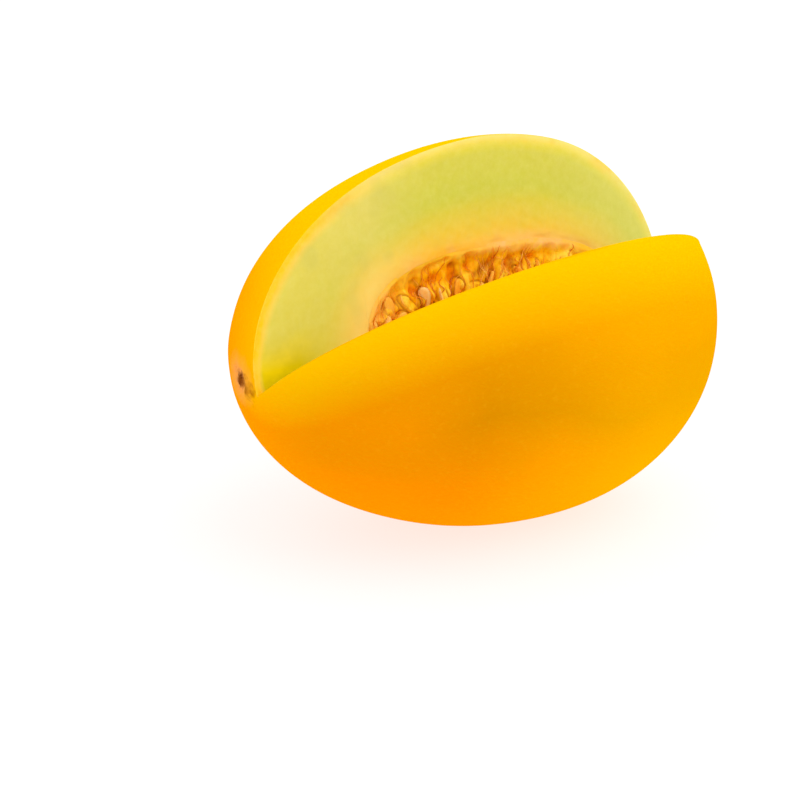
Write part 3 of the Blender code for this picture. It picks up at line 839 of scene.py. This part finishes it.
def pulp_body():
    """A closed loop at each station: over the surface from the front slope's end to the back slope's, and
    under it round the cavity's wall. Both ends close on a point."""
    half = CAVITY_HALF_LENGTH + PULP_GRIP
    x = CAVITY_MIDDLE + half * np.sin(np.linspace(-0.5, 0.5, PULP_STATIONS) * math.pi) * 0.99985
    x = 0.5 * x + 0.5 * (CAVITY_MIDDLE + half * np.linspace(-1, 1, PULP_STATIONS) * 0.99985)
    bottom, _, _ = pulp_surface(x, np.zeros_like(x))
    x = x[cavity_radius(x, -PULP_GRIP) > np.hypot(*bottom.T) + 0.0012]
    end_back, end_front = pulp_limits(x)
    t = np.linspace(0, 1, PULP_TOP_POINTS)
    s = -end_front[:, None] + (end_back + end_front)[:, None] * t
    wide = np.broadcast_to(x[:, None], s.shape)
    place, _, out = pulp_surface(wide, s)
    pocket = pockets(wide, s)
    wall = wall_gap(wide, s)
    height = pulp_height(wide, s, wall, pocket)
    top = place + height[..., None] * out
    radius = cavity_radius(x, -PULP_GRIP)
    first, last = place[:, 0], place[:, -1]
    start, stop = np.arctan2(*last.T), np.mod(np.arctan2(*first.T), 2 * math.pi)
    turn = start[:, None] + (stop - start)[:, None] * np.linspace(0, 1, PULP_WALL_POINTS + 2)[1:-1]
    under = radius[:, None, None] * leaning(turn)
    loop = np.concatenate((top, under), axis=1)
    hidden = np.zeros(under.shape[:2])
    values = [np.concatenate((top_value, hidden), axis=1) for top_value in (height, pocket, wall)]
    middle = loop.mean(axis=1, keepdims=True)
    ends = (np.broadcast_to(point, loop[:1].shape) for point in (middle[:1], middle[-1:]))
    loop = np.insert(next(ends), 1, loop, axis=0)
    loop = np.concatenate((loop, next(ends)))
    x = np.concatenate((x[:1] - 0.0001, x, x[-1:] + 0.0001))
    values = [np.concatenate((v[:1], v, v[-1:])) for v in values]
    points = np.empty(loop.shape[:2] + (3,))
    points[..., 0] = x[:, None]
    points[..., 1] = loop[..., 0]
    points[..., 2] = loop[..., 1] + AXIS_HEIGHT
    return points, dict(zip(("lift", "pocket", "from_wall"), values))


points, numbers = pulp_body()
pulp = make_piece(
    "seed_pulp", points, grid_quads(*points.shape[:2], True), [pulp_finish()], values=numbers, crease=70
)
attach(pulp, "root")
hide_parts("seed_mass")

# --------------------------------------------------------------------------------------------------
# Seeds: flat cream teardrops about 12 mm long, round at one end and drawn to a point at the other,
# bedded at all angles in the pulp, each in a thin amber skin whose darker edge is partly its own colour
# and partly painted shade where it meets the pulp.
# --------------------------------------------------------------------------------------------------
SEED_RINGS = 9
SEED_SIDES = 10
SEED_SPREADS = ((0.94, 1.06), (0.92, 1.08), (0.85, 1.05))  # of its length, width and thickness
SEED_BEND = 0.0005
SEED_SHAPE_DRAW = 5


def seed_surfaces(frames, draw):
    """Every seed as rings round its own length. At a share t of the length the half width goes as
    t^0.72 (1 - t)^0.42 and the half thickness as its root, with a soft ridge round the margin."""
    t = (1 - np.cos(np.linspace(0, math.pi, SEED_RINGS))) / 2
    width = t**0.72 * (1 - t) ** 0.42 / 0.4723
    turn = 2 * math.pi * np.arange(SEED_SIDES) / SEED_SIDES
    thick = SEED_THICKNESS / 2 * np.sqrt(width)[:, None] * np.sin(turn) * (0.88 + 0.12 * np.cos(2 * turn))
    shape = np.stack(
        np.broadcast_arrays(
            SEED_LENGTH * (t - 0.5)[:, None], SEED_WIDTH / 2 * width[:, None] * np.cos(turn), thick
        ),
        axis=-1,
    )
    towards_ends = (np.abs(t - 0.55) * 2)[:, None] ** 3
    margin = np.broadcast_to(np.maximum(np.abs(np.cos(turn)), towards_ends), shape.shape[:2])
    points, edges, tints, quads = [], [], [], []
    one = grid_quads(SEED_RINGS, SEED_SIDES, True)
    for number, (_, _, place, turned) in enumerate(frames):
        size = np.array([draw.uniform(*spread) for spread in SEED_SPREADS])
        bend = draw.uniform(-SEED_BEND, SEED_BEND) * ((t - 0.5)[:, None] * 2) ** 2
        body = shape * size + np.stack((0 * bend, 0 * bend, bend), axis=-1)
        points.append(body @ turned.T + place)
        edges.append(margin)
        tints.append(np.full(margin.shape, draw.random()))
        quads.append(one + number * SEED_RINGS * SEED_SIDES)
    return np.concatenate(points), np.concatenate(quads), {"margin": np.stack(edges), "tint": np.stack(tints)}


def seed_finish():
    """Smooth wet seed coats, cream to orange, with a darker amber margin, partly the coat's own colour and
    partly painted shade.
    """
    f = Finish("seed_coat")
    blotch = f.noise(380.0, 3.0)
    tint = f.maths("ADD", f.number("tint"), f.span(blotch, 0.3, 0.7, -0.2, 0.2))
    colour = f.ramp(tint, (0.0, "FFAE2C"), (0.30, "FFBE44"), (0.65, "FFC864"), (1.0, "FFD68C"))
    # darker amber round the edges and ends: partly the coat's own colour, partly painted shade where the seed
    # meets the pulp
    colour = f.mix(f.span(f.number("margin"), 0.78, 1.0, 0.0, 0.40), colour, shade("D08420"))
    f.surface(
        Base_Color=colour,
        Roughness=0.32,
        Normal=f.bump((blotch, 0.25, 0.0002)),
        Specular_IOR_Level=0.12,
        Subsurface_Weight=0.15,
        Subsurface_Radius=(0.002, 0.0012, 0.0005),
        Subsurface_Scale=1.0,
    )
    return f.made


points, quads, numbers = seed_surfaces(seed_places, random.Random(SEED_SHAPE_DRAW))
seeds = make_piece("seeds", points, quads, [seed_finish()], values=numbers, crease=80)
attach(seeds, "root")
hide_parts("seed_mass")

# --------------------------------------------------------------------------------------------------
# Strings: thin wet fibres of the torn placenta, draped over its lobes and between the seeds from the
# lip of the flesh towards the valley.
# --------------------------------------------------------------------------------------------------
STRINGS = 80
STRING_POINTS = 22
STRING_SIDES = 5
STRING_RADIUS = 0.00020
STRING_START = (0.0008, 0.010)  # how far down the slope from the wall it begins
STRING_LENGTH = (0.006, 0.022)
STRING_DRIFT = 0.006  # the most that it leads along the fruit
STRING_WANDER = 0.0012
STRING_ARCH = 0.0016
STRING_WIDTHS = (0.5, 1.3)  # of STRING_RADIUS
STRING_DRAW = 17
BACK_SLOPE_SHARE = 0.62  # of the strings, on the back slope


def string_paths():
    """Each string's points: it starts near the wall on one slope and wanders down it, its way a slow sine
    across the slope, lying just on the pulp and rising over its seeds in one low arch or two."""
    draw = np.random.default_rng(STRING_DRAW)
    t = np.linspace(0, 1, STRING_POINTS)
    x0 = CAVITY_MIDDLE + (CAVITY_HALF_LENGTH - 0.006) * draw.uniform(-1, 1, STRINGS)
    side = np.where(draw.random(STRINGS) < BACK_SLOPE_SHARE, 1.0, -1.0)
    back, front = pulp_limits(x0)
    top = np.where(side > 0, back, front) - draw.uniform(*STRING_START, STRINGS)
    length = draw.uniform(*STRING_LENGTH, STRINGS)
    x = x0[:, None] + draw.uniform(-STRING_DRIFT, STRING_DRIFT, STRINGS)[:, None] * t
    x = x + (STRING_WANDER * draw.uniform(0.3, 1, STRINGS))[:, None] * np.sin(
        2 * math.pi * t * draw.uniform(0.6, 1.8, STRINGS)[:, None] + draw.uniform(0, 6.28, STRINGS)[:, None]
    )
    x = np.clip(x, CAVITY_MIDDLE - CAVITY_HALF_LENGTH + 0.004, CAVITY_MIDDLE + CAVITY_HALF_LENGTH - 0.004)
    s = side[:, None] * np.clip(top[:, None] - length[:, None] * t, 0.001, None)
    arch = draw.uniform(0.0, STRING_ARCH, STRINGS)[:, None]
    arch = arch * np.sin(math.pi * t * draw.integers(1, 3, STRINGS)[:, None]) ** 2
    end_back, end_front = pulp_limits(x)
    s = np.clip(s, -end_front + 0.0006, end_back - 0.0006)
    points, _ = pulp_point(x, s, lift=arch + 0.0001)
    return points, draw.uniform(*STRING_WIDTHS, STRINGS), draw.random(STRINGS)


def tubes(paths, widths):
    """Round tubes along the paths, whose radius swells from nothing to full at both ends as the root of
    sin(pi t). Each ring is square to its path."""
    ahead = np.gradient(paths, axis=1)
    ahead /= np.linalg.norm(ahead, axis=-1, keepdims=True)
    side = np.cross(ahead, (0.31, 0.22, 0.93))
    side /= np.linalg.norm(side, axis=-1, keepdims=True)
    up = np.cross(side, ahead)
    t = np.linspace(0, 1, paths.shape[1])
    radius = STRING_RADIUS * widths[:, None] * np.sqrt(np.clip(np.sin(math.pi * t), 0, 1))
    turn = 2 * math.pi * np.arange(STRING_SIDES) / STRING_SIDES
    ring = np.cos(turn)[:, None] * side[:, :, None] + np.sin(turn)[:, None] * up[:, :, None]
    return paths[:, :, None] + radius[..., None, None] * ring


def string_finish():
    """Thin wet strings, gold to red-brown."""
    f = Finish("placenta_strings")
    colour = f.ramp(f.number("tint"), (0.0, "D8700A"), (0.3, "F0920E"), (0.6, "F8A82C"), (1.0, "FFC460"))
    f.surface(Base_Color=colour, Roughness=0.3, Specular_IOR_Level=0.2)
    return f.made


paths, widths, tints = string_paths()
points = tubes(paths, widths)
count, length, sides = points.shape[:3]
quads = np.concatenate([grid_quads(length, sides, True) + k * length * sides for k in range(count)])
strings = make_piece(
    "placenta_strings",
    points,
    quads,
    [string_finish()],
    values={"tint": np.broadcast_to(tints[:, None, None], points.shape[:3])},
    crease=80,
)
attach(strings, "root")
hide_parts("seed_mass")

# --------------------------------------------------------------------------------------------------
# Studio: a wide floor of white paper that glows faintly, so that it stays white round the fruit, an
# even white surround, a very soft light above the front and a weaker one low before the stem end.
# --------------------------------------------------------------------------------------------------
FLOOR_SIZE = 30.0
floor_mesh = bpy.data.meshes.new("studio_floor")
corner = FLOOR_SIZE / 2
floor_mesh.from_pydata(
    [(-corner, -corner, 0.0), (corner, -corner, 0.0), (corner, corner, 0.0), (-corner, corner, 0.0)],
    [],
    [(0, 1, 2, 3)],
)
floor = bpy.data.objects.new("studio_floor", floor_mesh)
bpy.context.scene.collection.objects.link(floor)
PAPER_GREY = 0.32
PAPER_GLOW = 0.70
paper = Finish("white_paper")
paper.surface(
    Base_Color=(PAPER_GREY, PAPER_GREY, PAPER_GREY, 1.0),
    Roughness=0.9,
    Specular_IOR_Level=0.0,
    Emission_Strength=PAPER_GLOW,
)
floor_mesh.materials.append(paper.made)

surround = bpy.data.worlds.new("white_surround")
surround.use_nodes = True
surround.node_tree.nodes["Background"].inputs["Color"].default_value = (1.0, 1.0, 1.0, 1.0)
surround.node_tree.nodes["Background"].inputs["Strength"].default_value = 1.0
bpy.context.scene.world = surround


def soft_light(name, strength, spread, towards):
    """A very soft lamp far away, which shines from the direction towards."""
    lamp = bpy.data.lights.new(name, "SUN")
    lamp.energy = strength
    lamp.angle = math.radians(spread)
    light = bpy.data.objects.new(name, lamp)
    light.rotation_euler = Vector(towards).to_track_quat("Z", "Y").to_euler()
    bpy.context.scene.collection.objects.link(light)


soft_light("soft_key", 0.80, 60, (0.30, -0.45, 0.84))
soft_light("soft_fill", 0.45, 80, (-0.60, -0.78, 0.16))

# the camera stands in front of the stem end, a little above the fruit
CAMERA_FROM_MIDDLE = (-0.36510, -0.47628, 0.16096)
CAMERA_HEADING = math.radians(34.59)
CAMERA_DROP = math.radians(17.55)
LENS_LENGTH = 68.05  # mm
SENSOR_WIDTH = 36.0  # mm
lens = bpy.data.cameras.new("camera")
lens.lens = LENS_LENGTH
lens.sensor_width = SENSOR_WIDTH
camera = bpy.data.objects.new("camera", lens)
camera.location = Vector(CAMERA_FROM_MIDDLE) + Vector((0.0, 0.0, AXIS_HEIGHT))
ahead = Vector(
    (
        math.sin(CAMERA_HEADING) * math.cos(CAMERA_DROP),
        math.cos(CAMERA_HEADING) * math.cos(CAMERA_DROP),
        -math.sin(CAMERA_DROP),
    )
)
camera.rotation_euler = ahead.to_track_quat("-Z", "Y").to_euler()
bpy.context.scene.collection.objects.link(camera)
bpy.context.scene.camera = camera
bpy.context.scene.view_settings.view_transform = "Standard"
